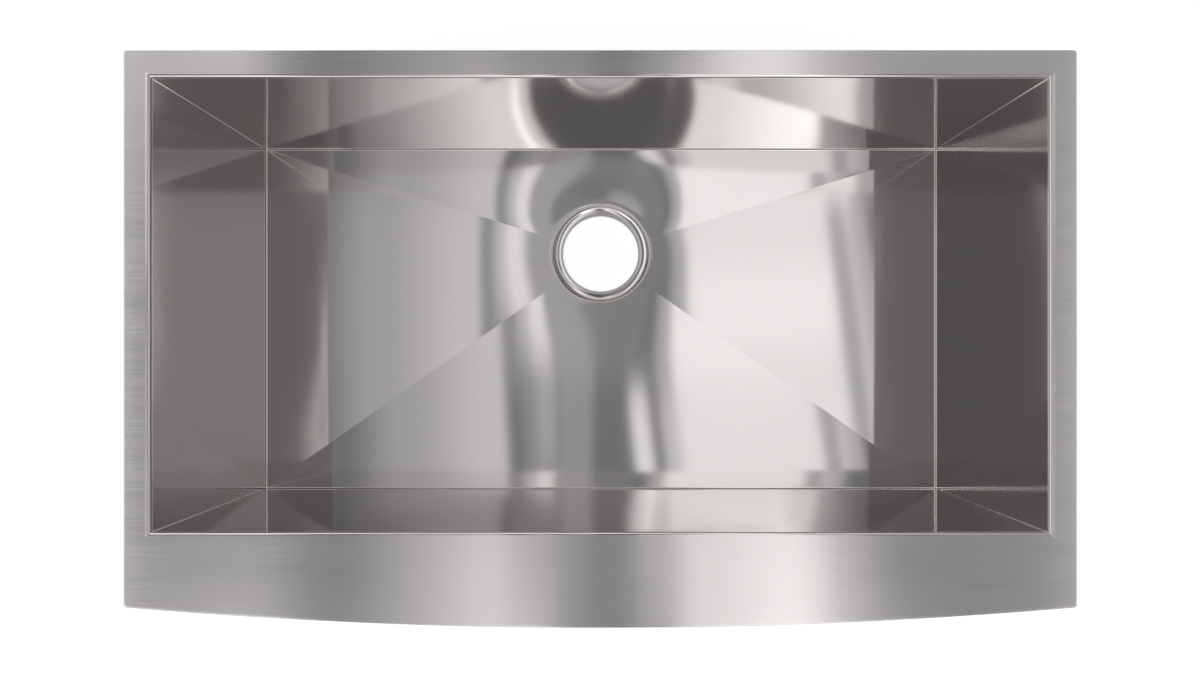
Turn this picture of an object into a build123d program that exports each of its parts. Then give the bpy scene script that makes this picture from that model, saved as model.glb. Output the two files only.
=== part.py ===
from build123d import *
import math
import os

# Farmhouse sink with a bowed apron front, folded and welded from stainless sheet.
# Millimetres. X runs left to right, Y towards the wall behind the sink, Z up.
# The origin lies under the middle of the sink, on the surface that it stands on.

# Overall size
sink_width = 838.0
sink_depth = 508.0
sink_height = 254.0
sheet = 1.5

# Deck: widths of its flat rim round the bowl, the front one measured at the corners
side_rim = 24.0
back_rim = 24.0
front_rim = 66.0
bow_rise = 18.0
deck_corner = 2.5
deck_edge_break = 0.6

# Bowl
rim_round = 2.5
lip_width = 5.0
floor_bend = 3.0
floor_fall = 6.0
corner_notch = 1.0

# Drain
drain_radius = 45.0
drain_from_back = 121.5
recess_radius = 59.0
recess_depth = 7.5
recess_mouth_round = 2.0
cup_width = 11.0
dish_radius = 62.0
dish_slope = 0.12
crease_drop = 0.8

# Apron
apron_return = 80.0
apron_bend = 2.5
strip_width = 45.0
brace_width = 30.0
brace_from_end = 139.0
brace_foot = 22.0
brace_leg = 32.0
brace_leg_height = 26.0
brace_bend = 3.0

# Welds
bead_radius = 1.6
rim_bead_width = 3.0
rim_bead_height = 0.8
fillet_leg = 2.5
stitch_length = 32.0
stitch_count = 7
stitch_from_end = 59.0
seam_end_gap = 8.0

# Sound pads and sprayed coat on the outside of the bowl
pad_thickness = 4.0
pad_corner_clip = 8.0
floor_pad_margin = 30.0
drain_clear_radius = 85.0
wall_pad_margin = 45.0
wall_pad_gap = 80.0
wall_pad_low = 70.0
wall_pad_height = 120.0
apron_pad_width = 520.0
coat = 0.8
coat_top = 236.0

# Places worked out from the sizes above
half_width = sink_width / 2
back_y = sink_depth / 2
front_y = -sink_depth / 2
corner_y = front_y + bow_rise
bowl_half = half_width - side_rim
bowl_back = back_y - back_rim
bowl_front = corner_y + front_rim
bowl_length = bowl_back - bowl_front
bowl_mid = (bowl_back + bowl_front) / 2
deck_under = sink_height - sheet
seat_z = sheet
floor_low = seat_z + recess_depth
floor_high = floor_low + floor_fall
cup_height = recess_depth - recess_mouth_round
drain_y = bowl_back - drain_from_back
outer_half = bowl_half + sheet
outer_front = bowl_front - sheet
outer_back = bowl_back + sheet
bow_radius = (half_width**2 + bow_rise**2) / (2 * bow_rise)
bow_center = front_y + bow_radius
flange_y = corner_y + apron_return
seam_half = bowl_half + lip_width + rim_bead_width / 2

# Working allowances of the model
overrun = 10.0
near = 0.01


def walls_space(grow):
    """Box-shaped room of the bowl, rounded where its walls meet the floor."""
    floor = floor_high - grow
    top = sink_height + overrun
    room = Box(2 * (bowl_half + grow), bowl_length + 2 * grow, top - floor)
    room = fillet(room.faces().sort_by(Axis.Z)[0].edges(), floor_bend + grow)
    return Pos(0, bowl_mid, (floor + top) / 2) * room


def falls_space(grow):
    """Shallow pyramid under the floor: its four ridges are the drainage creases, aimed at the drain."""
    flat = Rectangle(2 * (bowl_half - floor_bend), bowl_length - 2 * floor_bend)
    edge = Pos(0, bowl_mid, floor_high - grow) * flat
    point = Vertex(0, drain_y, floor_low - crease_drop - grow)
    return loft([edge.face(), point], ruled=True)


def dish_space(grow):
    """Shallow cone that brings all four falls down to one level round the drain."""
    low = floor_low - grow
    height = floor_fall + sheet / 2
    cone = Cone(dish_radius, dish_radius + height / dish_slope, height)
    return Pos(0, drain_y, low + height / 2) * cone


def recess_space(grow):
    """Pressed seat for the drain: rounded mouth, cupped side and level seat, as a revolved profile."""
    mouth_z = floor_low - grow
    mouth_round = recess_mouth_round - grow
    cup_top = seat_z + cup_height
    seat_r = recess_radius - recess_mouth_round - cup_width
    low = seat_z - grow
    upper = max(mouth_z, cup_top) + sheet / 2
    cup = EllipticalCenterArc((seat_r, cup_top), cup_width + grow, cup_height + grow, 270, arc_size=90)
    profile = [Line((0, low), (seat_r, low)), cup]
    if mouth_round > 0:
        sin45 = math.sin(math.radians(45))
        middle = (recess_radius - mouth_round * sin45, mouth_z - mouth_round * (1 - sin45))
        profile.append(ThreePointArc(cup @ 1, middle, (recess_radius, mouth_z)))
    end = profile[-1] @ 1
    profile.append(Polyline(end, (end.X, upper), (0, upper), (0, low)))
    return Pos(0, drain_y, 0) * revolve(Plane.XZ * make_face(Curve() + profile), Axis.Z)


def basin_space(grow):
    """Everything inside the surface that lies this far outside the bowl's inner face."""
    return walls_space(grow) + falls_space(grow) + dish_space(grow) + recess_space(grow)


def slab(x_low, x_high, y_low, y_high, z_low, z_high):
    """Box between two corners."""
    size = Box(x_high - x_low, y_high - y_low, z_high - z_low)
    return Pos((x_low + x_high) / 2, (y_low + y_high) / 2, (z_low + z_high) / 2) * size


def bowl_corners():
    """The four outside corners of the bowl, in plan."""
    return [(x, y) for x in (-outer_half, outer_half) for y in (outer_front, outer_back)]


def corner_seam(size, bottom, top):
    """Square column on each outside corner of the bowl."""
    height = top - bottom
    return [Pos(x, y, (bottom + top) / 2) * Box(2 * size, 2 * size, height) for x, y in bowl_corners()]


def wall_loop(body, grow, height):
    """The level edges at one height on the bowl's wall, or on a wall grown outward."""
    level = body.edges().filter_by_position(Axis.Z, height - near, height + near)
    within = level.filter_by_position(Axis.X, -bowl_half - grow - near, bowl_half + grow + near)
    return within.filter_by_position(Axis.Y, bowl_front - grow - near, bowl_back + grow + near)


def make_bowl():
    """Floor, walls and narrow rolled rim in one sheet, with notched corners for the welds."""
    lip_half = bowl_half + lip_width
    lip = slab(
        -lip_half, lip_half, bowl_front - lip_width, bowl_back + lip_width, deck_under, sink_height
    )
    above = slab(-half_width, half_width, front_y, back_y, sink_height, sink_height + 2 * overrun)
    body = basin_space(sheet) + lip - above
    body = fillet(wall_loop(body, sheet, deck_under), rim_round - sheet)
    body -= basin_space(0)
    body = fillet(wall_loop(body, 0, sink_height), rim_round)
    body -= Pos(0, drain_y, 0) * Cylinder(drain_radius, 4 * recess_depth)
    for notch in corner_seam(corner_notch, floor_high, sink_height - rim_round - sheet):
        body -= notch
    return body


def make_corner_welds(bowl):
    """A rounded bead in the notch of each outside corner of the bowl, cut off at the wall's faces."""
    bottom = floor_high
    top = sink_height - rim_round - sheet
    beads = []
    for x, y in bowl_corners():
        inset_x = math.copysign(corner_notch, x)
        inset_y = corner_notch if y > bowl_mid else -corner_notch
        rod = Pos(x - inset_x, y - inset_y, (bottom + top) / 2) * Cylinder(bead_radius, top - bottom)
        beads.append((rod - bowl).solids().sort_by(SortBy.VOLUME)[-1])
    return Compound(children=beads)


def plan_outline(rear, corner):
    """Plan of the sink from its bowed front back to a straight rear edge, with rounded corners."""
    sides = Polyline(
        (half_width, corner_y), (half_width, rear), (-half_width, rear), (-half_width, corner_y)
    )
    bow = ThreePointArc((-half_width, corner_y), (0, front_y), (half_width, corner_y))
    outline = make_face(Curve() + [sides, bow])
    return fillet(outline.vertices(), corner)


def make_deck():
    """Flat frame round the bowl: straight at the back and sides, bowed along the front."""
    outline = plan_outline(back_y, deck_corner)
    window = Rectangle(2 * (bowl_half + lip_width), bowl_length + 2 * lip_width)
    outline -= Pos(0, bowl_mid) * window
    plate = extrude(Pos(0, 0, deck_under) * outline, sheet)
    top_edges = plate.faces().sort_by(Axis.Z)[-1].outer_wire().edges()
    return chamfer(top_edges, deck_edge_break)


def apron_plan(inset):
    """Plan of the apron box, shrunk by an inset."""
    outline = plan_outline(flange_y, apron_bend)
    if inset > 0:
        outline = offset(outline, -inset)
    return outline


def make_apron():
    """Bowed skin folded back round both ends, with a flange turned in to the bowl at each rear edge."""
    ring = apron_plan(0) - apron_plan(sheet)
    ring -= Pos(0, flange_y) * Rectangle(2 * outer_half, 4 * sheet)
    relief = slab(-seam_half, seam_half, bowl_front, back_y, deck_under - fillet_leg, sink_height)
    return extrude(ring, deck_under) - relief


def make_bottom_strip():
    """Curved strip inside the lower edge of the apron, level with its bottom."""
    band = apron_plan(sheet) - Pos(0, bow_center) * Circle(bow_radius - sheet - strip_width)
    return extrude(band, sheet)


def make_brace(x):
    """Folded strap from the bottom strip up to the bowl's front wall."""
    reach = bow_radius - sheet - strip_width
    strip_back = bow_center - math.sqrt(reach**2 - (abs(x) + brace_width / 2) ** 2)
    path = FilletPolyline(
        (strip_back - brace_foot, sheet),
        (strip_back, sheet),
        (outer_front, brace_leg_height),
        (outer_front, brace_leg_height + brace_leg),
        radius=brace_bend,
    )
    strap = make_face(path.offset_2d(sheet, side=Side.LEFT))
    return Pos(x, 0, 0) * extrude(Plane.YZ * strap, brace_width / 2, both=True)


def make_rim_weld():
    """Bead under the seam between the bowl's lip and the deck's window."""
    width = 2 * (bowl_half + lip_width)
    length = bowl_length + 2 * lip_width
    outer = Rectangle(width + rim_bead_width, length + rim_bead_width)
    inner = Rectangle(width - rim_bead_width, length - rim_bead_width)
    low = deck_under - rim_bead_height
    bead = extrude(Pos(0, bowl_mid, low) * (outer - inner), rim_bead_height)
    lower = bead.faces().sort_by(Axis.Z)[0].edges()
    return chamfer(lower, rim_bead_height / 2)


def make_deck_weld():
    """Fillet bead along the inside corner between the apron and the deck."""
    low = deck_under - fillet_leg
    plan = Pos(0, 0, low) * apron_plan(sheet)
    bead = extrude(plan, fillet_leg) - extrude(plan, fillet_leg, taper=45)
    bowl_zone = slab(-seam_half, seam_half, bowl_front, back_y, low - overrun, sink_height)
    return bead - bowl_zone


def make_strip_welds():
    """Short fillet beads, evenly spaced, between the bottom strip and the apron."""
    inner_y = front_y + sheet
    section = Polyline(
        (inner_y, sheet), (inner_y + fillet_leg, sheet), (inner_y, sheet + fillet_leg), close=True
    )
    axis = Axis((0, bow_center, 0), (0, 0, 1))
    arc = math.degrees(stitch_length / bow_radius)
    spacing = 2 * (half_width - stitch_from_end) / (stitch_count - 1)
    step = math.degrees(spacing / bow_radius)
    bead = revolve(Plane.YZ * make_face(section), axis, arc)
    first = -step * (stitch_count - 1) / 2 - arc / 2
    return Compound(children=[bead.rotate(axis, first + i * step).solid() for i in range(stitch_count)])


def make_flange_welds():
    """Upright fillet bead behind each rear flange of the apron, against the bowl's side wall."""
    bottom = floor_high + seam_end_gap
    height = deck_under - rim_round - seam_end_gap - bottom
    beads = []
    for side in (-1, 1):
        section = Polyline(
            (side * outer_half, flange_y),
            (side * (outer_half + fillet_leg), flange_y),
            (side * outer_half, flange_y + fillet_leg),
            close=True,
        )
        beads.append(extrude(Pos(0, 0, bottom) * make_face(section), height, dir=(0, 0, 1)).solid())
    return Compound(children=beads)


def pad_layer():
    """Room between the bowl's outer face and the outer face of a pad glued to it."""
    return basin_space(sheet + pad_thickness) - basin_space(sheet)


def pad_outline(width, length):
    """Rectangle with clipped corners, as pads are die-cut."""
    outline = Rectangle(width, length)
    return chamfer(outline.vertices(), pad_corner_clip)


def make_floor_pads(layer):
    """Three pads under the floor, which keep clear of the drain."""
    edge = bowl_half - floor_pad_margin
    length = bowl_length - 2 * floor_pad_margin
    side_width = edge - drain_clear_radius - floor_pad_margin / 2
    side_x = edge - side_width / 2
    front_length = drain_y - drain_clear_radius - floor_pad_margin / 2 - bowl_front - floor_pad_margin
    front_y_mid = bowl_front + floor_pad_margin + front_length / 2
    height = 2 * floor_high
    side = extrude(pad_outline(side_width, length), height / 2, both=True)
    front = extrude(pad_outline(2 * drain_clear_radius, front_length), height / 2, both=True)
    return {
        "floor_pad_left": Pos(-side_x, bowl_mid, 0) * side & layer,
        "floor_pad_right": Pos(side_x, bowl_mid, 0) * side & layer,
        "floor_pad_front": Pos(0, front_y_mid, 0) * front & layer,
    }


def wall_pad(width, turn):
    """Upright pad centred on the origin, facing along Y, or along X when turned by 90 degrees."""
    pad = extrude(Plane.XZ * pad_outline(width, wall_pad_height), pad_thickness / 2, both=True)
    return Rot(0, 0, turn) * pad


def make_wall_pads():
    """Pads on the outside of the four walls: two at the rear, two at the front, one at each side."""
    z = wall_pad_low + wall_pad_height / 2
    stand_off = pad_thickness / 2
    long_width = bowl_half - wall_pad_margin - wall_pad_gap / 2
    long_x = wall_pad_gap / 2 + long_width / 2
    side_front = flange_y + wall_pad_margin
    side_back = bowl_back - wall_pad_margin
    side_pad = wall_pad(side_back - side_front, 90)
    side_y = (side_front + side_back) / 2
    long_pad = wall_pad(long_width, 0)
    pads = {}
    for name, side in (("left", -1), ("right", 1)):
        pads[f"side_pad_{name}"] = Pos(side * (outer_half + stand_off), side_y, z) * side_pad
        pads[f"rear_pad_{name}"] = Pos(side * long_x, outer_back + stand_off, z) * long_pad
        pads[f"front_pad_{name}"] = Pos(side * long_x, outer_front - stand_off, z) * long_pad
    return pads


def make_apron_pad():
    """Pad glued to the inside of the bowed skin, curved to it."""
    outer = Pos(0, bow_center) * Circle(bow_radius - sheet)
    inner = Pos(0, bow_center) * Circle(bow_radius - sheet - pad_thickness)
    strip = Pos(0, front_y) * Rectangle(apron_pad_width, 4 * (bow_rise + pad_thickness))
    return extrude(Pos(0, 0, wall_pad_low) * ((outer - inner) & strip), wall_pad_height)


def make_undercoat(others):
    """Sprayed skin on the outside of the bowl, open round the drain and round all that touches the bowl."""
    skin = basin_space(sheet + coat) - basin_space(sheet)
    skin -= slab(-half_width, half_width, front_y, back_y, coat_top, sink_height + overrun)
    skin -= Pos(0, drain_y, 0) * Cylinder(drain_clear_radius, 4 * floor_high)
    for other in others:
        skin -= other
    return skin


def build_sink():
    """All pieces of the sink, by name."""
    bowl = make_bowl()
    brace_x = half_width - brace_from_end
    pieces = {
        "bowl": bowl,
        "deck": make_deck(),
        "apron": make_apron(),
        "apron_bottom_strip": make_bottom_strip(),
        "apron_brace_left": make_brace(-brace_x),
        "apron_brace_center": make_brace(0),
        "apron_brace_right": make_brace(brace_x),
        "corner_welds": make_corner_welds(bowl),
        "rim_weld": make_rim_weld(),
        "deck_apron_weld": make_deck_weld(),
        "bottom_strip_welds": make_strip_welds(),
        "apron_flange_welds": make_flange_welds(),
        "apron_pad": make_apron_pad(),
    }
    pieces.update(make_floor_pads(pad_layer()))
    pieces.update(make_wall_pads())
    not_coated = ("bowl", "deck", "apron_bottom_strip", "rim_weld", "deck_apron_weld", "bottom_strip_welds")
    touching = [piece for name, piece in pieces.items() if name not in not_coated]
    pieces["undercoat"] = make_undercoat(touching)
    return pieces


os.makedirs("parts", exist_ok=True)
for name, piece in build_sink().items():
    export_step(piece, f"parts/{name}.step")
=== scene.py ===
import bpy
import math
import numpy as np
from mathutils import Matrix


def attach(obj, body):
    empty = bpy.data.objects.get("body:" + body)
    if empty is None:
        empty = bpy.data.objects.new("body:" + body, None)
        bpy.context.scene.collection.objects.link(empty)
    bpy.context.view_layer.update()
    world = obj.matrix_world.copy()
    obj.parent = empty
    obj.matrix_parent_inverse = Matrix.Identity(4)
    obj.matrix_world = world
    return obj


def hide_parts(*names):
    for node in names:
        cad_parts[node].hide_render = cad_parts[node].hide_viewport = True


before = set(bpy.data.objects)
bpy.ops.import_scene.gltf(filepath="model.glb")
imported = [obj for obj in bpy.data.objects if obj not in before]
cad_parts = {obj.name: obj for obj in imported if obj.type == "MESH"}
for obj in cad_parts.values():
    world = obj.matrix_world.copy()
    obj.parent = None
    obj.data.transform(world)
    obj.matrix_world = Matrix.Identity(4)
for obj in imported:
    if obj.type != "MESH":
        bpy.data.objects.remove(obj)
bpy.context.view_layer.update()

# Farmhouse sink with a bowed apron front, in brushed stainless sheet, seen straight from above.
# Lengths in the sections are metres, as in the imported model.


# Camera
# It hangs straight above the sink, a hand's width in front of the drain, as a product picture is taken.
camera = bpy.data.objects.new("camera", bpy.data.cameras.new("camera"))
camera.data.lens = 23.8
camera.data.shift_x = -0.0017
camera.data.shift_y = 0.0188
camera.location = (0.0017, -0.0185, 0.951)
bpy.context.scene.collection.objects.link(camera)
bpy.context.scene.camera = camera
bpy.context.scene.view_settings.view_transform = "Standard"


# Studio light
# Soft light all round and a dim ceiling with strips of light on it. Level sheet mirrors what is above it, so
# the strips stand in the bowl as bands from front to back. The camera itself sees a white room.
def calc(tree, operation, *values):
    """Math node fed with numbers or sockets; gives its output."""
    node = tree.nodes.new("ShaderNodeMath")
    node.operation = operation
    for socket, value in zip(node.inputs, values):
        if isinstance(value, (int, float)):
            socket.default_value = value
        else:
            tree.links.new(value, socket)
    return node.outputs[0]


def ramp(tree, value, low, high, start=0.0, end=1.0):
    """Smooth step of a socket from start at low to end at high."""
    node = tree.nodes.new("ShaderNodeMapRange")
    node.interpolation_type = "SMOOTHSTEP"
    tree.links.new(value, node.inputs["Value"])
    for name, number in (("From Min", low), ("From Max", high), ("To Min", start), ("To Max", end)):
        node.inputs[name].default_value = number
    return node.outputs["Result"]


def band(tree, value, low, high, edge):
    """1 between low and high, with a soft step at each side."""
    rise = ramp(tree, value, low - edge, low + edge)
    fall = ramp(tree, value, high - edge, high + edge, 1.0, 0.0)
    return calc(tree, "MULTIPLY", rise, fall)


def light_strip(tree, across, along, reach, levels, stretch):
    """Light of one strip: a band across, its level running from side to side, within a stretch along."""
    light = calc(tree, "MULTIPLY", band(tree, across, *reach, 0.007), ramp(tree, across, *reach, *levels))
    return calc(tree, "MULTIPLY", light, band(tree, along, *stretch, 0.03))


world = bpy.data.worlds.new("studio")
world.use_nodes = True
bpy.context.scene.world = world
sky = world.node_tree
background = sky.nodes["Background"]
background.inputs["Color"].default_value = (1, 1, 1, 1)
direction = sky.nodes.new("ShaderNodeTexCoord")
split = sky.nodes.new("ShaderNodeSeparateXYZ")
sky.links.new(direction.outputs["Generated"], split.inputs[0])
# A place on the ceiling is a slope: sideways is x over z and lengthways is y over z of the ray's direction.
height = calc(sky, "MAXIMUM", split.outputs["Z"], 0.02)
sideways = calc(sky, "DIVIDE", split.outputs["X"], height)
lengthways = calc(sky, "DIVIDE", split.outputs["Y"], height)
slant = calc(sky, "MINIMUM", calc(sky, "MAXIMUM", lengthways, -0.1), 0.3)
slanted = calc(sky, "MULTIPLY_ADD", slant, 0.14, sideways)

# Each strip: its two sides, the level of light at each side, and its stretch from front to back.
far = 9
right_strips = [
    ((0.090, 0.268), (0.80, 0.80), (-far, 0.29)),
    ((0.070, 0.090), (0.30, 0.30), (-0.40, 0.29)),
    ((0.070, 0.090), (0.20, 0.20), (-0.40, 0.00)),
    ((0.090, 0.268), (0.14, 0.14), (0.02, 0.12)),
    ((0.120, 0.268), (0.45, 0.45), (0.23, 0.29)),
    ((0.090, 0.268), (0.30, 1.00), (-0.70, -0.40)),
    ((0.120, 0.268), (-0.40, 0.35), (-0.40, -0.20)),
    ((0.268, 0.297), (0.26, 0.26), (-0.22, 0.20)),
    ((0.290, 0.318), (0.38, 0.38), (-0.22, 0.20)),
    ((0.268, 0.305), (0.90, 0.90), (0.20, 0.33)),
    ((0.305, 0.370), (0.35, 0.05), (0.20, 0.33)),
    ((0.268, 0.340), (0.40, 0.10), (-0.70, -0.20)),
    ((0.290, 0.480), (2.40, 1.60), (-far, -0.64)),
    ((0.180, 0.290), (0.50, 0.95), (0.30, far)),
    ((0.290, 0.620), (0.42, 0.42), (0.33, far)),
    ((-0.050, 0.150), (-0.14, -0.14), (0.33, far)),
    ((0.440, 0.620), (0.30, 0.30), (-far, -0.45)),
    ((0.034, 0.056), (0.80, 0.80), (-0.40, 0.02)),
    ((0.075, 0.100), (0.60, 0.60), (0.20, 0.29)),
]
left_strips = [
    ((-0.330, -0.250), (0.00, 0.25), (-0.40, 0.22)),
    ((-0.250, -0.117), (0.25, 0.52), (-0.40, 0.22)),
    ((-0.330, -0.085), (0.20, 1.10), (-far, -0.40)),
    ((-0.330, -0.128), (0.05, 0.22), (0.22, far)),
    ((-0.250, -0.110), (0.15, 0.45), (-0.40, -0.20)),
    ((-0.117, -0.098), (0.12, 0.12), (0.02, far)),
    ((-0.098, -0.058), (0.12, 0.12), (-0.40, far)),
    ((-0.098, -0.058), (0.30, 0.30), (0.05, 0.22)),
    ((-0.082, -0.060), (0.16, 0.16), (-0.08, 0.22)),
    ((-0.082, -0.060), (0.20, 0.20), (0.05, 0.22)),
    ((-0.095, -0.065), (0.90, 0.90), (-far, -0.40)),
    ((-0.055, -0.012), (0.17, 0.17), (-0.40, far)),
    ((-0.055, 0.038), (0.07, 0.07), (0.03, far)),
    ((-0.620, -0.440), (0.70, 1.10), (0.33, far)),
    ((-0.620, -0.440), (1.30, 1.20), (-far, -0.45)),
    ((-0.570, -0.480), (1.00, 1.00), (-far, -0.62)),
    ((-0.440, -0.300), (0.90, 0.50), (-far, -0.78)),
]
wide_strips = [
    ((-0.400, far), (0.07, 0.07), (-0.40, 0.22)),
    ((0.420, far), (0.12, 0.12), (-0.15, 0.24)),
]
bare_ceiling = 0.14
overhead = bare_ceiling
for across, strips in ((sideways, wide_strips), (slanted, right_strips), (sideways, left_strips)):
    for reach, levels, stretch in strips:
        overhead = calc(sky, "ADD", overhead, light_strip(sky, across, lengthways, reach, levels, stretch))

# Past the ceiling's edges the room is bright, but for the dark screens far out on both sides that the drain
# mirrors on the left and right of its cup.
past_sides = ramp(sky, calc(sky, "ABSOLUTE", sideways), 0.61, 0.65)
past_ends = ramp(sky, calc(sky, "ABSOLUTE", lengthways), 0.75, 1.3)
outside = calc(sky, "MAXIMUM", past_sides, past_ends)
right_screen, left_screen = ramp(sky, sideways, 0.70, 0.85), band(sky, sideways, -6.0, -2.0, 0.15)
around = calc(sky, "MULTIPLY_ADD", height, 0.55, 0.8)
screened = calc(sky, "MULTIPLY", around, calc(sky, "MAXIMUM", right_screen, left_screen))
around = calc(sky, "MULTIPLY_ADD", screened, -0.78, around)
mixed = calc(sky, "MULTIPLY_ADD", outside, calc(sky, "SUBTRACT", around, overhead), overhead)
sky_path = sky.nodes.new("ShaderNodeLightPath")
shown = calc(sky, "MULTIPLY_ADD", sky_path.outputs["Is Camera Ray"], calc(sky, "SUBTRACT", 1.0, mixed), mixed)
sky.links.new(shown, background.inputs["Strength"])


# Floor
# A seamless pale studio floor under the sink, which keeps its soft shadow. It glows a little, so that it
# reads white to the camera and in the metal.
bpy.ops.mesh.primitive_plane_add(size=30, location=(0, 0, -0.0004))
floor = bpy.context.object
floor.name = "studio_floor"
floor_material = bpy.data.materials.new("studio_floor")
floor_material.use_nodes = True
tree = floor_material.node_tree
tree.nodes.clear()
paper = tree.nodes.new("ShaderNodeBsdfDiffuse")
paper.inputs["Color"].default_value = (0.8, 0.8, 0.8, 1)
glow = tree.nodes.new("ShaderNodeEmission")
path = tree.nodes.new("ShaderNodeLightPath")
mirrored = calc(tree, "MAXIMUM", path.outputs["Is Glossy Ray"], path.outputs["Is Transmission Ray"])
lift = calc(tree, "MULTIPLY_ADD", path.outputs["Is Camera Ray"], 0.62, calc(tree, "MULTIPLY", mirrored, 0.15))
tree.links.new(lift, glow.inputs["Strength"])
both = tree.nodes.new("ShaderNodeAddShader")
surface = tree.nodes.new("ShaderNodeOutputMaterial")
tree.links.new(paper.outputs[0], both.inputs[0])
tree.links.new(glow.outputs[0], both.inputs[1])
tree.links.new(both.outputs[0], surface.inputs["Surface"])
floor.data.materials.append(floor_material)


# Bowl
# One blank of 1.5 mm stainless steel, brushed lengthways, creased from the floor's corners to the drain so
# that it empties, folded up into four walls with ground inside corners and rolled into a narrow level rim.
# The seat of the drain is pressed in, with a rounded mouth, a cupped side and a plain cut hole.
def smooth_step(value):
    """0 below 0, 1 above 1, and 3t^2 - 2t^3 between."""
    t = np.clip(value, 0, 1)
    return t * t * (3 - 2 * t)


def arc(center, radius, first, last, count):
    """Points of a circular arc as (across, up) pairs, angles in degrees from the outward direction."""
    angle = np.radians(np.linspace(first, last, count))
    return np.stack([center[0] + radius * np.cos(angle), center[1] + radius * np.sin(angle)], axis=1)


def perimeter(half_x, low_y, high_y, corner, spacing):
    """Columns round a rectangle, anticlockwise from its front left corner. Each is a row of (signs of the
    last corner, signs of the next, outward normal, share of the way between them, wall), so that the same
    columns serve rings of any size. A column in a rounded corner has the share 0."""
    turn = np.radians(np.linspace(0, 90, 7))
    corners = [(-1, -1, 180), (1, -1, 270), (1, 1, 0), (-1, 1, 90)]
    blocks = []
    for k, (sx, sy, start) in enumerate(corners):
        nx, ny, _ = corners[(k + 1) % 4]
        length = (2 * half_x if ny == sy else high_y - low_y) - 2 * corner
        steps = np.linspace(0, 1, round(length / spacing) + 1)[1:-1]
        share = np.concatenate([np.zeros(len(turn)), [0.001 / length], steps, [1 - 0.001 / length]])
        angle = np.radians(start) + np.where(share > 0, math.pi / 2, 0)
        angle[: len(turn)] += turn
        signs = np.where(share[:, None] > 0, (sx, sy, nx, ny), (sx, sy, sx, sy))
        blocks.append(np.column_stack([signs, np.cos(angle), np.sin(angle), share, np.full(len(share), k)]))
    return np.concatenate(blocks)


def ring(columns, half_x, low_y, high_y, corner):
    """Plan points of the columns on a rounded rectangle."""
    mid, half_y = (low_y + high_y) / 2, (high_y - low_y) / 2
    first = columns[:, 0:2] * (half_x - corner, half_y - corner)
    last = columns[:, 2:4] * (half_x - corner, half_y - corner)
    weight = columns[:, 6:7]
    return first * (1 - weight) + last * weight + columns[:, 4:6] * corner + (0, mid)


def grid_piece(name, grids, wrap_rows=True, wrap_columns=True, ends=False, lids=False, uv=None, uv_end=None):
    """Mesh of grids of points (rows, columns, 3). Faces join neighbours, wrap round where asked, and point
    outwards. Ends close the first and last column of an open grid, and lids its first and last row. UV is a
    grid with one row and one column more, and uv_end holds the values of a row where a face ends at it.
    Without UV the pattern is laid on from the front, at a tilt that reaches the sides and the top too."""
    tilt = 0.37
    vertices, faces, corners = [], [], []
    for points in grids:
        rows, across = points.shape[:2]
        steps = np.arange(rows - (not wrap_rows)), np.arange(across - (not wrap_columns))
        i, j = np.meshgrid(*steps, indexing="ij")
        i2, j2 = (i + 1) % rows, (j + 1) % across
        quads = np.stack([i * across + j, i * across + j2, i2 * across + j2, i2 * across + j], axis=-1)
        quads = quads.reshape(-1, 4)
        flat = points.reshape(-1, 3)
        middle = flat - flat.mean(axis=0)
        p, q, r, t = (middle[quads[:, n]] for n in range(4))
        volume = np.einsum("ij,ij->", p, np.cross(q, r)) + np.einsum("ij,ij->", p, np.cross(r, t))
        outward = volume > 0
        order = [0, 1, 2, 3] if outward else [3, 2, 1, 0]
        base = sum(len(v) for v in vertices)
        faces += (quads[:, order] + base).tolist()
        if uv is None:
            plan = np.stack([flat[:, 0] + tilt * flat[:, 1], flat[:, 2] - tilt * flat[:, 1]], axis=1)
            corners.append(plan[quads[:, order]].reshape(-1, 2))
        else:
            last = uv if uv_end is None else uv_end
            four = np.stack([uv[i, j], uv[i, j + 1], last[i + 1, j + 1], last[i + 1, j]], axis=2)
            corners.append(four.reshape(-1, 4, 2)[:, order].reshape(-1, 2))
        closing = [(np.arange(rows) * across + k, k == 0) for k in (0, across - 1) if ends]
        closing += [(np.arange(across) + k * across, k > 0) for k in (0, rows - 1) if lids]
        for loop, forward in closing:
            loop = loop if forward == outward else loop[::-1]
            faces.append((loop + base).tolist())
            corners.append(flat[loop][:, [0, 2]])
        vertices.append(flat)
    mesh = bpy.data.meshes.new(name)
    mesh.from_pydata(np.concatenate(vertices).tolist(), [], faces)
    layer = mesh.uv_layers.new(name="brush")
    layer.data.foreach_set("uv", np.concatenate(corners).astype(np.float32).ravel())
    mesh.shade_smooth()
    mesh.set_sharp_from_angle(angle=math.radians(30))
    piece = bpy.data.objects.new(name, mesh)
    bpy.context.scene.collection.objects.link(piece)
    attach(piece, "root")
    return piece


def cloudy(tree, vector, scale, detail):
    """Noise over a vector socket, from 0 to 1."""
    noise = tree.nodes.new("ShaderNodeTexNoise")
    noise.inputs["Scale"].default_value = scale
    noise.inputs["Detail"].default_value = detail
    tree.links.new(vector, noise.inputs["Vector"])
    return noise.outputs["Fac"]


def blend(tree, factor, first, second):
    """Colour that goes from the first to the second as the factor socket goes from 0 to 1."""
    mix = tree.nodes.new("ShaderNodeMix")
    mix.data_type = "RGBA"
    tree.links.new(factor, mix.inputs["Factor"])
    mix.inputs["A"].default_value = (*first, 1)
    mix.inputs["B"].default_value = (*second, 1)
    return mix.outputs["Result"]


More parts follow.
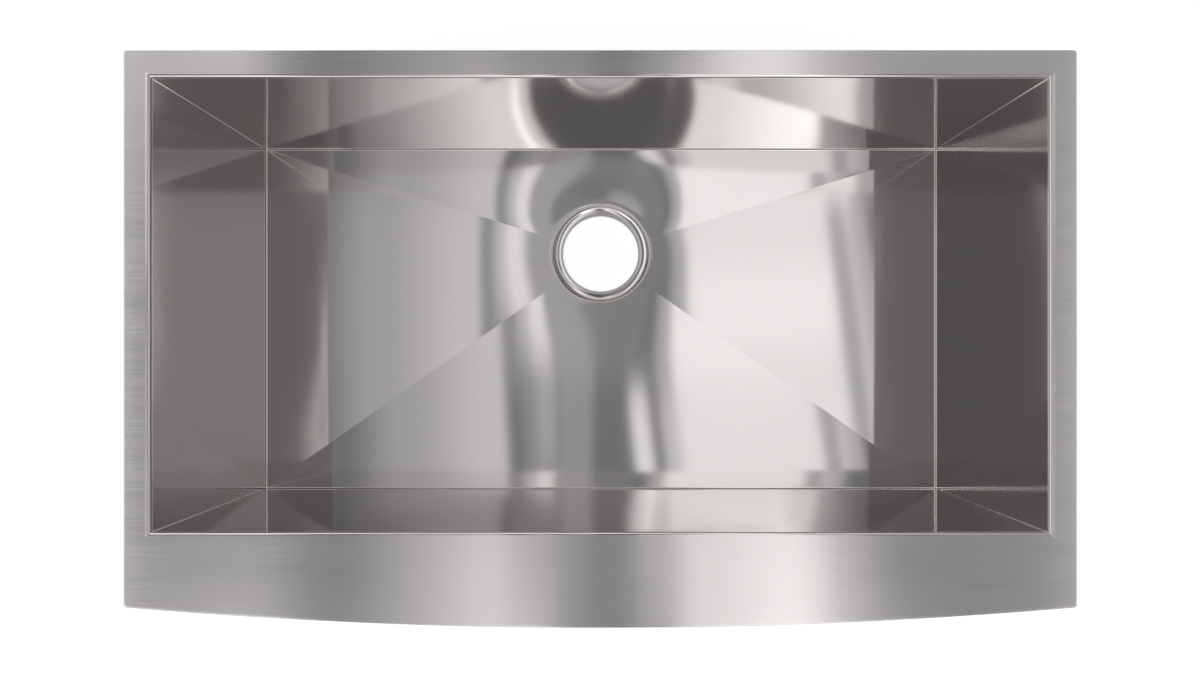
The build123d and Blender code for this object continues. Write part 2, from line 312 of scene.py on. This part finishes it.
def relief(tree, height, strength, distance):
    """Normal of a surface roughened by a height socket, this many metres deep."""
    bump = tree.nodes.new("ShaderNodeBump")
    bump.inputs["Strength"].default_value = strength
    bump.inputs["Distance"].default_value = distance
    tree.links.new(height, bump.inputs["Height"])
    return bump.outputs[0]


def brushed_steel(name, color, roughness, spread, streak, scratch):
    """Brushed stainless steel. The scratches run along U: stretched noise breaks up the gloss, the tint and
    the height, and spread draws the highlight out across the scratches. Scratch is a depth in millimetres."""
    material = bpy.data.materials.new(name)
    material.use_nodes = True
    tree = material.node_tree
    steel = tree.nodes["Principled BSDF"]
    steel.inputs["Metallic"].default_value = 1.0
    steel.inputs["Anisotropic"].default_value = spread
    steel.inputs["Anisotropic Rotation"].default_value = 0.25
    brush = tree.nodes.new("ShaderNodeUVMap")
    brush.uv_map = "brush"
    tangent = tree.nodes.new("ShaderNodeTangent")
    tangent.direction_type = "UV_MAP"
    tangent.uv_map = "brush"
    tree.links.new(tangent.outputs[0], steel.inputs["Tangent"])
    scratch_scale, patch_scale = (16, 700, 1), (2.5, 45, 1)
    noises = []
    for scale in (scratch_scale, patch_scale):
        stretch = tree.nodes.new("ShaderNodeMapping")
        stretch.inputs["Scale"].default_value = scale
        tree.links.new(brush.outputs[0], stretch.inputs["Vector"])
        noises.append(cloudy(tree, stretch.outputs[0], 1.0, 4.0))
    fine, broad = noises
    lines = ramp(tree, fine, 0.3, 0.7, roughness * (1 - streak), roughness * (1 + streak))
    patches = ramp(tree, broad, 0.3, 0.7, 0.96, 1.04)
    tree.links.new(calc(tree, "MULTIPLY", lines, patches), steel.inputs["Roughness"])
    darker = [(1 - 0.25 * streak) * channel for channel in color]
    lighter = [(1 + 0.25 * streak) * channel for channel in color]
    tree.links.new(blend(tree, ramp(tree, fine, 0.25, 0.75), darker, lighter), steel.inputs["Base Color"])
    tree.links.new(relief(tree, fine, 0.2, 0.001 * scratch), steel.inputs["Normal"])
    return material


steel_color = (0.735, 0.710, 0.703)
sheet, hair = 0.0015, 0.0001
bowl_x, bowl_front, bowl_back, rim_z = 0.395, -0.170, 0.230, 0.254
deck_under = rim_z - sheet
drain_x, drain_y, hole_r, mouth_r = 0.0, 0.1085, 0.045, 0.059
floor_low, floor_high, floor_bend, corner_r = 0.009, 0.015, 0.0016, 0.0005
columns = perimeter(bowl_x, bowl_front, bowl_back, corner_r, 0.007)
# The wall that each column stands in: 0 front, 1 right, 2 rear, 3 left.
wall = columns[:, 7]
wall_outward = np.where(wall[:, None] % 2 == 0, (0.0, 1.0), (1.0, 0.0)) * np.sign(columns[:, 4:6])
floor_ring = ring(columns, bowl_x - floor_bend, bowl_front + floor_bend, bowl_back - floor_bend, corner_r)
spoke = floor_ring - (drain_x, drain_y)
spoke_length = np.linalg.norm(spoke, axis=1, keepdims=True)


def floor_height(x, y):
    """Height of the floor: straight lines fall from the level edge of the walls to the level mouth of the
    drain, which makes a crease to each corner that dies out at the drain, plus slight waves."""
    dish_r, ease, wave_height = 0.062, 0.003, 0.00006
    rear, front = bowl_back - floor_bend - drain_y, drain_y - bowl_front - floor_bend
    along_y = np.maximum((y - drain_y) / rear, (drain_y - y) / front)
    reach = np.maximum(np.maximum(np.abs(x) / (bowl_x - floor_bend), along_y), 1e-6)
    r = np.hypot(x - drain_x, y - drain_y)
    past = r - dish_r
    past = (past + np.sqrt(past**2 + ease**2)) / 2
    share = past / np.maximum(r / reach - dish_r, 0.01)
    calm = smooth_step((1 - reach) / 0.12) * smooth_step((r - 0.065) / 0.08)
    wave = np.sin(19 * x + 6 * y + 0.6) * np.cos(13 * y - 5 * x) + 0.5 * np.sin(34 * x - 11 * y + 1.0)
    return floor_low + (floor_high - floor_low) * np.minimum(share, 1.002) + wave_height * calm * wave


def wall_wave(along, up):
    """Slight bulges of a wall: two slanting waves, which die out at the bend and the rim."""
    bulge = 0.00010
    calm = smooth_step((up - 0.02) / 0.05) * smooth_step((0.25 - up) / 0.04)
    return bulge * calm * (np.sin(17 * along + 9 * up) + 0.6 * np.cos(31 * along - 14 * up + 1.3))


def bowl_surface(offset, wall_rows, start):
    """Rows from a circle round the drain over the floor and up the wall, this far outside the inner face.
    Gives the points and the unfolded position of each, for the brushing."""
    share = np.linspace(0, 1, 46)[:, None, None] ** 1.8
    share = np.concatenate([share[:-1], [[[0.9985]]], share[-1:]])
    plan = (drain_x, drain_y) + spoke / spoke_length * ((1 - share) * start + share * spoke_length)
    z = floor_height(plan[..., 0], plan[..., 1]) - offset
    z[-1] = floor_high - offset
    rows = [np.dstack([plan, z])]
    flats = [plan]
    profile = arc((-floor_bend, floor_high + floor_bend), floor_bend + offset, -90, 0, 8)[1:] * (-1, 1)
    profile = [*profile, *((-offset, z) for z in wall_rows)]
    run = 0.0
    last = (floor_bend, floor_high - offset)
    for inset, z in profile:
        run += math.dist(last, (inset, z))
        last = (inset, z)
        plan = ring(columns, bowl_x - inset, bowl_front + inset, bowl_back - inset, corner_r - min(inset, 0))
        along = np.where(wall % 2 == 0, plan[:, 0], plan[:, 1])
        end_room = np.minimum(plan[:, 1] - bowl_front, bowl_back - plan[:, 1])
        room = np.where(wall % 2 == 0, bowl_x - abs(plan[:, 0]), end_room)
        swell = wall_wave(along + wall * 0.4, z) * smooth_step(room / 0.06)
        plan = plan + wall_outward * swell[:, None]
        rows.append(np.dstack([plan[None], np.full((1, len(plan)), z)]))
        flats.append((floor_ring + wall_outward * run)[None])
    return np.concatenate(rows), np.concatenate(flats)


def drain_rows(profile):
    """Rings round the drain for a profile of (radius, height) pairs."""
    profile = np.array(profile)
    plan = (drain_x, drain_y) + (spoke / spoke_length)[None] * profile[:, 0, None, None]
    z = np.broadcast_to(profile[:, 1, None], plan.shape[:2])
    return np.dstack([plan, z])


def rim_rows(profile, corner):
    """Rings at the rim for a profile of (outset, height) pairs."""
    rows = []
    for outset, z in profile:
        plan = ring(columns, bowl_x + outset, bowl_front - outset, bowl_back + outset, corner)
        rows.append(np.dstack([plan[None], np.full((1, len(plan)), z)]))
    return np.concatenate(rows)


rim_bend, seam, seam_corner = 0.0025, 0.0050, 0.0006
wall_foot, wall_top = 0.0188, rim_z - rim_bend
wall_heights = np.concatenate([[wall_foot], np.linspace(0.0195, 0.2500, 24), [wall_top - 0.0005, wall_top]])
under_mouth_r, under_round, press_r = 0.0602, 0.0005, 0.007
inner, inner_flat = bowl_surface(0.0, wall_heights, mouth_r)
outer, outer_flat = bowl_surface(sheet, wall_heights, under_mouth_r)

# The recess: a narrow ledge round the hole, an elliptical cup and a rounded mouth, with a plainer underside.
ledge_r, cup_out, cup_up, mouth_round = 0.0460, 0.0106, 0.0049, 0.0008
turn = np.radians(np.linspace(0, 76, 22))
cup = np.stack([ledge_r + cup_out * np.sin(turn), sheet + cup_up * (1 - np.cos(turn))], axis=1)
mouth = arc((mouth_r, floor_low - mouth_round), mouth_round, 155, 90, 5)[:-1]
recess = drain_rows([(hole_r, sheet), *cup, *mouth])
under_mouth = arc((under_mouth_r, press_r), under_round, 90, 180, 4)[1:-1]
under_cup = arc((under_mouth_r - under_round - press_r, press_r), press_r, 0, -90, 9)
under_ledge = [(hole_r + 0.0030, 0.0), (hole_r + hair, 0.0), (hole_r, hair)]
under_recess = drain_rows([*under_mouth, *under_cup, *under_ledge])

rim = rim_rows(arc((rim_bend, wall_top), rim_bend, 180, 90, 9)[1:], corner_r)
past_bend = rim_bend + 0.0003
lip_top = [(past_bend, rim_z), (seam, rim_z)]
lip_under = [(seam, deck_under + hair), (seam - hair, deck_under), (past_bend, deck_under)]
lip = rim_rows(lip_top + lip_under, seam_corner)
under_rim = rim_rows(arc((rim_bend, wall_top), rim_bend - sheet, 90, 180, 5)[:-1], corner_r)
points = np.concatenate([recess, inner, rim, lip, under_rim, outer[::-1], under_recess])


def unfold(rows, flat, start):
    """Unfolded positions for rows that carry on from the last ones: out along each wall's own direction."""
    steps = np.linalg.norm(np.diff(rows, axis=0, prepend=start[None]), axis=2).max(axis=1)
    return flat[None] + wall_outward[None] * np.cumsum(steps)[:, None, None]


def turned(rows):
    """Unfolded positions round the drain: along a circle of middle radius, and along the profile."""
    middle_r = 0.055
    around = np.unwrap(np.arctan2(rows[..., 1] - drain_y, rows[..., 0] - drain_x), axis=1)
    around = np.concatenate([around, around[:, :1] + 2 * math.pi], axis=1)
    steps = np.linalg.norm(np.diff(rows, axis=0, prepend=rows[:1]), axis=2).max(axis=1)
    along = np.broadcast_to(np.cumsum(steps)[:, None], around.shape)
    return np.dstack([middle_r * around, along])


def closed(flat):
    """The same with the first column again at the end."""
    return np.concatenate([flat, flat[:, :1]], axis=1)


walls_flat = unfold(np.concatenate([rim, lip, under_rim]), inner_flat[-1], inner[-1])
top_turn = turned(np.concatenate([recess, inner[:1]]))
low_turn = turned(np.concatenate([outer[:1], under_recess, recess[:1]]))
sheets = closed(np.concatenate([inner_flat, walls_flat, outer_flat[::-1]]))
flat = np.concatenate([top_turn[:-1], sheets, low_turn[1:]])
flat_end = flat.copy()
flat_end[len(recess)] = top_turn[-1]
flat[-len(under_recess) - 2] = low_turn[0]
bowl = grid_piece("sink_bowl", [points], uv=flat, uv_end=flat_end)
bowl.data.materials.append(brushed_steel("bowl_steel", steel_color, 0.07, 0.8, 0.02, 0.0))
bowl.data.materials.append(brushed_steel("drain_steel", steel_color, 0.14, 0.0, 0.03, 0.0))
deck_steel = brushed_steel("deck_steel", steel_color, 0.22, 1.0, 0.05, 0.001)
bowl.data.materials.append(deck_steel)
# One finish per row of faces: 0 bright in the bowl, 1 plain in the pressed recess, 2 satin on the lip.
finish = np.zeros(len(points), dtype=np.int32)
finish[: len(recess)] = 1
lip_start = len(recess) + len(inner) + len(rim)
finish[lip_start - 1 : lip_start + 1] = 2
bowl.data.polygons.foreach_set("material_index", np.repeat(finish, len(columns)))
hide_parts("bowl")


# Deck
# Flat frame of the same steel round the bowl, cut with a bowed front and small rounded corners, welded to the
# bowl's rim and ground flush, then brushed lengthways all over, which leaves it more satin than the bowl.
half_width, back_y, front_y, bow, outer_corner = 0.419, 0.254, -0.254, 0.018, 0.0025
bow_r = (half_width**2 + bow**2) / (2 * bow)
bow_y = front_y + bow_r


def outline(inset):
    """Plan points of the columns on the sink's outline, this far inside it: straight rear edge and sides, a
    circular bow in front, and rounded corners whose front pair leans over to meet the bow squarely."""
    mid_x = half_width - outer_corner
    mid_y = bow_y - math.sqrt((bow_r - outer_corner) ** 2 - mid_x**2)
    lean = math.atan2(mid_x, bow_y - mid_y)
    sx, sy, normal_x, normal_y, weight = columns[:, [0, 1, 4, 5, 6]].T
    angle = np.arctan2(normal_y, normal_x) + lean * sx * (sy < 0) * (1 - np.abs(normal_x))
    center = np.stack([sx * mid_x, np.where(sy > 0, back_y - outer_corner, mid_y)], axis=1)
    corners = center + (outer_corner - inset) * np.stack([np.cos(angle), np.sin(angle)], axis=1)
    bow_end = mid_x + (outer_corner - inset) * math.sin(lean)
    across = np.where(wall == 0, -bow_end + 2 * bow_end * weight, mid_x * (1 - 2 * weight))
    front = np.stack([across, bow_y - np.sqrt((bow_r - inset) ** 2 - across**2)], axis=1)
    back = np.stack([across, np.full(len(wall), back_y - inset)], axis=1)
    rise = mid_y + (back_y - outer_corner - mid_y) * np.where(wall == 1, weight, 1 - weight)
    flank = np.stack([np.where(wall == 1, 1, -1) * (half_width - inset), rise], axis=1)
    straight = np.where((wall == 0)[:, None], front, np.where((wall == 2)[:, None], back, flank))
    return np.where((weight == 0)[:, None], corners, straight)


def flat_rings(low, high, z, shares):
    """Rings between two plan rings at one height."""
    level = np.full((1, len(low)), z)
    return np.concatenate([np.dstack([(low + (high - low) * t)[None], level]) for t in shares])


def plan_uv(points):
    """Unfolded positions of a level plate: its plan."""
    return closed(np.concatenate([points, points[:1]])[..., :2])


seam_rectangle = bowl_x + seam, bowl_front - seam, bowl_back + seam, seam_corner
window = ring(columns, *seam_rectangle)
edge_break = 0.0006
rows = [flat_rings(window, window, deck_under + hair, [0])]
rows.append(flat_rings(window, outline(edge_break), rim_z, [0, 0.25, 0.5, 0.75, 0.97, 1]))
for inset, z in arc((edge_break, rim_z - edge_break), edge_break, 90, 180, 5)[1:]:
    rows.append(flat_rings(outline(inset), window, z, [0]))
rows.append(flat_rings(outline(0), window, deck_under + hair, [0]))
rows.append(flat_rings(outline(hair), window, deck_under, [0, 0.5, 0.996]))
points = np.concatenate(rows)
deck = grid_piece("deck_plate", [points], uv=plan_uv(points))
deck.data.materials.append(deck_steel)
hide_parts("deck")


# Apron
# One sheet, bent to the bow, folded back at both ends and turned in against the bowl's sides. It hangs under
# the deck's edge, and its face is brushed lengthways like the deck's.
flange_y, flange_end, flange_top, flange_notch, skin_sag = -0.156, 0.3965, 0.250, 0.4016, 0.00022


def apron_path(inset, start):
    """Plan points along the apron, from the end of its left flange round the front to its right one."""
    big = max(outer_corner, inset)
    small = big - inset
    mid_x = half_width - big
    mid_y = bow_y - math.sqrt((bow_r - big) ** 2 - mid_x**2)
    lean = math.degrees(math.atan2(mid_x, bow_y - mid_y))
    flange = np.linspace(-start, -mid_x, 7)[:-1]
    fold = np.linspace(flange_y - big, mid_y, 14)[1:-1]
    across = np.linspace(-mid_x - small * math.sin(math.radians(lean)), 0, 64)[1:]
    left = np.concatenate([
        np.stack([flange, np.full(len(flange), flange_y - inset)], axis=1),
        arc((-mid_x, flange_y - big), small, 90, 180, 7),
        np.stack([np.full(len(fold), inset - half_width), fold], axis=1),
        arc((-mid_x, mid_y), small, 180, 270 - lean, 7),
        np.stack([across, bow_y - np.sqrt((bow_r - inset) ** 2 - across**2)], axis=1),
    ])
    return np.concatenate([left, left[-2::-1] * (-1, 1)])


outer_path, inner_path = apron_path(0, flange_end), apron_path(sheet, flange_end)
inward = (inner_path - outer_path) / sheet
run = np.concatenate([[0], np.cumsum(np.linalg.norm(np.diff(outer_path, axis=0), axis=1))])
low_break = 0.0003
levels = np.concatenate([[low_break], np.linspace(0.002, 0.250, 30), [deck_under - hair]])
section = [(0.0, z) for z in levels] + [(hair, deck_under), (sheet - hair, deck_under)]
section += [(sheet, z) for z in levels[::-1]] + [(sheet - low_break, 0.0), (low_break, 0.0)]
off_center = abs(outer_path[:, 0])
top = np.where(off_center < flange_notch, flange_top, deck_under)
calm_ends = smooth_step((0.40 - off_center) / 0.06)
rows, flat = [], []
for inset, z in section:
    sag = 0.5 + 0.28 * np.sin(13 * run + 7 * z) + 0.22 * np.sin(29 * run - 16 * z + 1.0)
    calm = smooth_step(z / 0.03) * smooth_step((deck_under - z) / 0.04) * calm_ends
    plan = outer_path + inward * (inset + skin_sag * sag * calm)[:, None]
    rows.append(np.dstack([plan[None], (z * top / deck_under)[None]]))
    flat.append(np.stack([run, np.full(len(run), z + inset)], axis=1)[None])
points = np.concatenate(rows)
flat = np.concatenate([*flat, flat[0]])
apron = grid_piece("apron_skin", [points], wrap_columns=False, ends=True, uv=flat)
apron.data.materials.append(brushed_steel("apron_steel", steel_color, 0.22, 0.9, 0.3, 0.006))
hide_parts("apron")


# Bottom strip
# Flat strip of the same sheet inside the apron's lower edge, cut to the bow and stitched to the skin, which
# it keeps from flexing.
def bow_line(x, inset):
    """Y of the bowed front, this far inside its face."""
    return bow_y - np.sqrt((bow_r - inset) ** 2 - x**2)


strip_width, broken = 0.045, 0.0002
strip_half = half_width - sheet - broken
across = np.linspace(-strip_half, strip_half, 120)
deep = [broken, strip_width / 3, strip_width * 2 / 3, strip_width - broken]
edges = [(0.0, broken), (0.0, sheet - broken), *((inset, sheet) for inset in deep)]
edges += [(strip_width, sheet - broken), (strip_width, broken), *((inset, 0.0) for inset in deep[::-1])]
lines = [(across, bow_line(across, sheet + inset), np.full(len(across), z)) for inset, z in edges]
points = np.stack([np.stack(line, axis=1) for line in lines])
strip = grid_piece("bottom_strip", [points], wrap_columns=False, ends=True)
strip.data.materials.append(deck_steel)
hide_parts("apron_bottom_strip")


# Braces
# Three straps folded from the same sheet, each with a foot on the bottom strip, a slope, and a leg that goes
# up the bowl's front wall.
def bent_line(corners, radius, count):
    """Line through the corners with rounded bends: points and left-hand normals."""
    corners = np.array(corners)
    points = [corners[:1]]
    for before, here, after in zip(corners, corners[1:], corners[2:]):
        one, two = (here - before) / math.dist(here, before), (after - here) / math.dist(after, here)
        half = math.acos(np.clip(one @ two, -1, 1)) / 2
        normal = np.array([-one[1], one[0]])
        center = here - one * radius * math.tan(half) + normal * radius
        turn = np.linspace(0, 2 * half, count)[:, None]
        points.append(center - radius * (normal * np.cos(turn) - one * np.sin(turn)))
    points = np.concatenate([*points, corners[-1:]])
    step = np.gradient(points, axis=0)
    step /= np.linalg.norm(step, axis=1, keepdims=True)
    return points, np.stack([-step[:, 1], step[:, 0]], axis=1)


brace_apart, brace_half, wall_y = 0.280, 0.015, bowl_front - sheet
foot, slope_top, leg_top, brace_bend = 0.022, 0.026, 0.058, 0.003
width = np.linspace(-brace_half, brace_half, 5)
for name, x in (("left", -brace_apart), ("center", 0.0), ("right", brace_apart)):
    strip_back = float(bow_line(abs(x) + brace_half, sheet + strip_width))
    route = [(strip_back - foot, sheet), (strip_back, sheet), (wall_y, slope_top), (wall_y, leg_top)]
    line, normal = bent_line(route, brace_bend, 7)
    loop = np.concatenate([line, (line + normal * sheet)[::-1]])
    points = np.stack([np.stack([np.full(len(loop), x + w), *loop.T], axis=1) for w in width], axis=1)
    brace = grid_piece(f"brace_{name}", [points], wrap_columns=False, ends=True)
    bevel = brace.modifiers.new("edges", "BEVEL")
    bevel.width, bevel.segments, bevel.limit_method = 0.0003, 2, "ANGLE"
    brace.data.materials.append(deck_steel)
    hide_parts(f"apron_brace_{name}")


# Welds
# Beads as the torch leaves them: overlapping crescents, a little heat-tinted. Only those inside the cabinet
# stay so; the seams in sight are ground flush and brushed.
def bead(path, side, out, section, pitch):
    """Grid of a bead along a path, from a section of (along side, along out, ripple share). It swells in half
    sine waves, one to each pitch, which shift with the distance from the path and so lie as crescents."""
    steps = np.linalg.norm(np.diff(path, axis=0), axis=1)
    run = np.concatenate([[0], np.cumsum(steps)])
    shift, at_distance, swell = 0.35, 0.002, 0.10
    rows = []
    for a, b, share in section:
        phase = (run + shift * pitch * share * math.hypot(a, b) / at_distance) / pitch
        ripple = 1 + share * (swell * np.abs(np.sin(math.pi * phase)) - 0.06 + 0.02 * np.sin(run * 171))
        rows.append(path + side * (a * ripple)[:, None] + out * (b * ripple)[:, None])
    return np.stack(rows)


def fillet_section(leg):
    """Slightly swollen triangle between two faces."""
    turn = np.linspace(0, math.pi / 2, 6)
    reach = leg * (0.80 + 0.20 * np.abs(np.cos(2 * turn)))
    return [(r * math.cos(t), r * math.sin(t), 1.0) for r, t in zip(reach, turn)] + [(0.0, 0.0, 0.0)]


def upright(x, y, heights):
    """Straight path up a seam."""
    return np.stack([np.full(len(heights), x), np.full(len(heights), y), heights], axis=1)


weld_steel = brushed_steel("weld_steel", (0.60, 0.57, 0.53), 0.33, 0.0, 0.3, 0.01)
right, backward, up = (axis[None] for axis in np.eye(3))
corner_bead, tuck = 0.0016, 0.0005
corner_heights = np.linspace(0.0155, 0.2495, 720)
turn = np.radians(np.linspace(-51, 141, 11))
section = [(corner_bead * math.cos(t), corner_bead * math.sin(t), 1.0) for t in turn]
section.append((0.0003, 0.0003, 0.0))
grids = []
for x, y in ((-1, -1), (1, -1), (1, 1), (-1, 1)):
    seam_y = bowl_back + tuck if y > 0 else bowl_front - tuck
    path = upright(x * (bowl_x + tuck), seam_y, corner_heights)
    grids.append(bead(path, x * right, y * backward, section, 0.0022))
corner_welds = grid_piece("corner_weld_beads", grids, wrap_columns=False, ends=True)

loop_columns = perimeter(*seam_rectangle, 0.0009)
loop = ring(loop_columns, *seam_rectangle)
loop = np.concatenate([loop, np.full((len(loop), 1), deck_under - hair)], axis=1)
outward = np.concatenate([loop_columns[:, 4:6], np.zeros((len(loop), 1))], axis=1)
turn = np.radians(np.linspace(180, 360, 7))
section = [(0.0015 * math.cos(t), 0.0007 * math.sin(t), 1.0) for t in turn] + [(0.0, hair, 0.0)]
rim_weld = grid_piece("rim_weld_bead", [bead(loop, outward, up, section, 0.0032)])

inside = apron_path(sheet, flange_notch)
fine = np.linspace(0, 1, 4 * len(inside))
whole = np.concatenate([[0], np.cumsum(np.linalg.norm(np.diff(inside, axis=0), axis=1))])
inside = np.stack([np.interp(fine * whole[-1], whole, inside[:, n]) for n in (0, 1)], axis=1)
step = np.gradient(inside, axis=0)
step /= np.linalg.norm(step, axis=1, keepdims=True)
inner_side = np.stack([-step[:, 1], step[:, 0], np.zeros(len(step))], axis=1)
path = np.concatenate([inside, np.full((len(inside), 1), deck_under)], axis=1)
deck_bead = bead(path, inner_side, -up, fillet_section(0.0025), 0.008)
deck_weld = grid_piece("deck_weld_bead", [deck_bead], wrap_columns=False, ends=True)

grids = []
stitch_half = 0.016
for middle in np.linspace(-0.360, 0.360, 7):
    x = np.linspace(middle - stitch_half, middle + stitch_half, 100)
    path = np.stack([x, bow_line(x, sheet), np.full(100, sheet)], axis=1)
    grids.append(bead(path, backward, up, fillet_section(0.0024), 0.0025))
strip_welds = grid_piece("strip_weld_beads", grids, wrap_columns=False, ends=True)

grids = []
for x in (-1, 1):
    path = upright(x * flange_end, flange_y, np.linspace(0.023, 0.242, 640))
    grids.append(bead(path, x * right, backward, fillet_section(0.0025), 0.0024))
flange_welds = grid_piece("flange_weld_beads", grids, wrap_columns=False, ends=True)

welds = {
    "corner_welds": corner_welds,
    "rim_weld": rim_weld,
    "deck_apron_weld": deck_weld,
    "bottom_strip_welds": strip_welds,
    "apron_flange_welds": flange_welds,
}
for node, piece in welds.items():
    piece.data.materials.append(weld_steel)
    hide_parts(node)


# Sound pads
# Die-cut sheets of dense black rubber, 4 mm thick, which stop the sheet from ringing. They are glued to the
# outside of the bowl and the inside of the apron.
def pad_piece(name, half_u, low_v, high_v, place):
    """Slab with rounded corners and a softened edge. Place puts (along, across, depth) on the surface it is
    glued to, as three coordinates."""
    pad_corner, pad_thick, face_inset = 0.008, 0.0040, 0.0013
    edge_columns = perimeter(half_u, low_v, high_v, pad_corner, 0.012)
    middle, half_v = (low_v + high_v) / 2, (high_v - low_v) / 2
    profile = [(share, 0.0, 0.0) for share in (0.15, 0.4, 0.7, 1.0)]
    profile += [(1.0, 0.0, 0.0026), (1.0, 0.0002, 0.0033), (1.0, 0.0006, 0.0038)]
    profile.append((1.0, face_inset, pad_thick))
    profile += [(share, face_inset, pad_thick) for share in (0.95, 0.8, 0.6, 0.4, 0.15)]
    rows = []
    for share, inset, depth in profile:
        u, v = half_u * share - inset, half_v * share - inset
        plan = ring(edge_columns, u, middle - v, middle + v, pad_corner * share)
        rows.append(np.stack(place(plan[:, 0], plan[:, 1], depth), axis=1))
    return grid_piece(name, [np.stack(rows)], wrap_rows=False, lids=True)


rubber = bpy.data.materials.new("pad_rubber")
rubber.use_nodes = True
tree = rubber.node_tree
skin = tree.nodes["Principled BSDF"]
skin.inputs["Specular IOR Level"].default_value = 0.35
place_node = tree.nodes.new("ShaderNodeTexCoord")
grain = cloudy(tree, place_node.outputs["Object"], 900, 3)
dust = cloudy(tree, place_node.outputs["Object"], 18, 5)
black, dusty = (0.022, 0.022, 0.023), (0.040, 0.039, 0.037)
tree.links.new(blend(tree, ramp(tree, dust, 0.35, 0.7), black, dusty), skin.inputs["Base Color"])
tree.links.new(ramp(tree, dust, 0.3, 0.7, 0.62, 0.85), skin.inputs["Roughness"])
tree.links.new(relief(tree, grain, 0.5, 0.0002), skin.inputs["Normal"])

pad_low, pad_high = 0.070, 0.190
long_half, long_apart = 0.155, 0.195
side_half, side_middle = 0.148, 0.037
floor_half, floor_apart, floor_front, floor_rear = 0.1325, 0.2325, -0.140, 0.200
middle_half, middle_rear, apron_half = 0.085, 0.0085, 0.260


def side_place(x):
    """On the outside of the left (-1) or right (1) wall."""
    return lambda u, v, depth: (np.full(len(u), x * (bowl_x + sheet + depth)), u + side_middle, v)


def rear_place(x):
    """On the outside of the rear wall, left or right of its middle."""
    return lambda u, v, depth: (x * long_apart + u, np.full(len(u), bowl_back + sheet + depth), v)


def front_place(x):
    """On the outside of the front wall, left or right of its middle."""
    return lambda u, v, depth: (x * long_apart + u, np.full(len(u), bowl_front - sheet - depth), v)


def floor_place(x):
    """Under the floor, left or right of its middle, or in it (0), along its slope."""
    return lambda u, v, depth: (x * floor_apart + u, v, floor_height(x * floor_apart + u, v) - sheet - depth)


def apron_place(u, v, depth):
    """On the inside of the apron, along its bow."""
    return u, bow_line(u, sheet + depth), v


pads = {}
for name, x in (("left", -1), ("right", 1)):
    pads[f"side_pad_{name}"] = pad_piece(f"pad_side_{name}", side_half, pad_low, pad_high, side_place(x))
    pads[f"rear_pad_{name}"] = pad_piece(f"pad_rear_{name}", long_half, pad_low, pad_high, rear_place(x))
    pads[f"front_pad_{name}"] = pad_piece(f"pad_front_{name}", long_half, pad_low, pad_high, front_place(x))
    floor_pad = pad_piece(f"pad_floor_{name}", floor_half, floor_front, floor_rear, floor_place(x))
    pads[f"floor_pad_{name}"] = floor_pad
pads["floor_pad_front"] = pad_piece("pad_floor_front", middle_half, floor_front, middle_rear, floor_place(0))
pads["apron_pad"] = pad_piece("pad_apron", apron_half, pad_low, pad_high, apron_place)
for node, piece in pads.items():
    piece.data.materials.append(rubber)
    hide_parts(node)


# Undercoat
# Grey coat against ringing and condensation, sprayed on the outside of the bowl, pebbled and a little
# cloudy. It is left bare round the drain and near the rim, where its edge wanders.
coat_thick, coat_r, coat_gap, coat_bevel = 0.0008, 0.085, 0.00002, 0.0005
coat_rows = np.concatenate([[wall_foot], np.linspace(0.0195, 0.233, 22), [0.2352]])
skin_out, _ = bowl_surface(sheet + coat_thick, coat_rows, coat_r)
skin_in, _ = bowl_surface(sheet + coat_gap, coat_rows, coat_r + coat_bevel)
angle = np.arctan2(skin_out[-1, :, 1], skin_out[-1, :, 0])
wander = 0.00012 * np.sin(23 * angle) + 0.00008 * np.sin(61 * angle + 1)
skin_out[-1, :, 2] += wander
skin_in[-1, :, 2] += wander + coat_bevel
coat = grid_piece("sprayed_coat", [np.concatenate([skin_out, skin_in[::-1]])])
coat_material = bpy.data.materials.new("sprayed_coat")
coat_material.use_nodes = True
tree = coat_material.node_tree
skin = tree.nodes["Principled BSDF"]
skin.inputs["Specular IOR Level"].default_value = 0.3
place_node = tree.nodes.new("ShaderNodeTexCoord")
peel = cloudy(tree, place_node.outputs["Object"], 420, 4)
cloud = cloudy(tree, place_node.outputs["Object"], 9, 6)
dark_gray, light_gray = (0.255, 0.255, 0.252), (0.345, 0.343, 0.335)
tree.links.new(blend(tree, ramp(tree, cloud, 0.3, 0.7), dark_gray, light_gray), skin.inputs["Base Color"])
tree.links.new(ramp(tree, peel, 0.3, 0.7, 0.72, 0.92), skin.inputs["Roughness"])
tree.links.new(relief(tree, peel, 0.7, 0.0006), skin.inputs["Normal"])
coat.data.materials.append(coat_material)
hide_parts("undercoat")
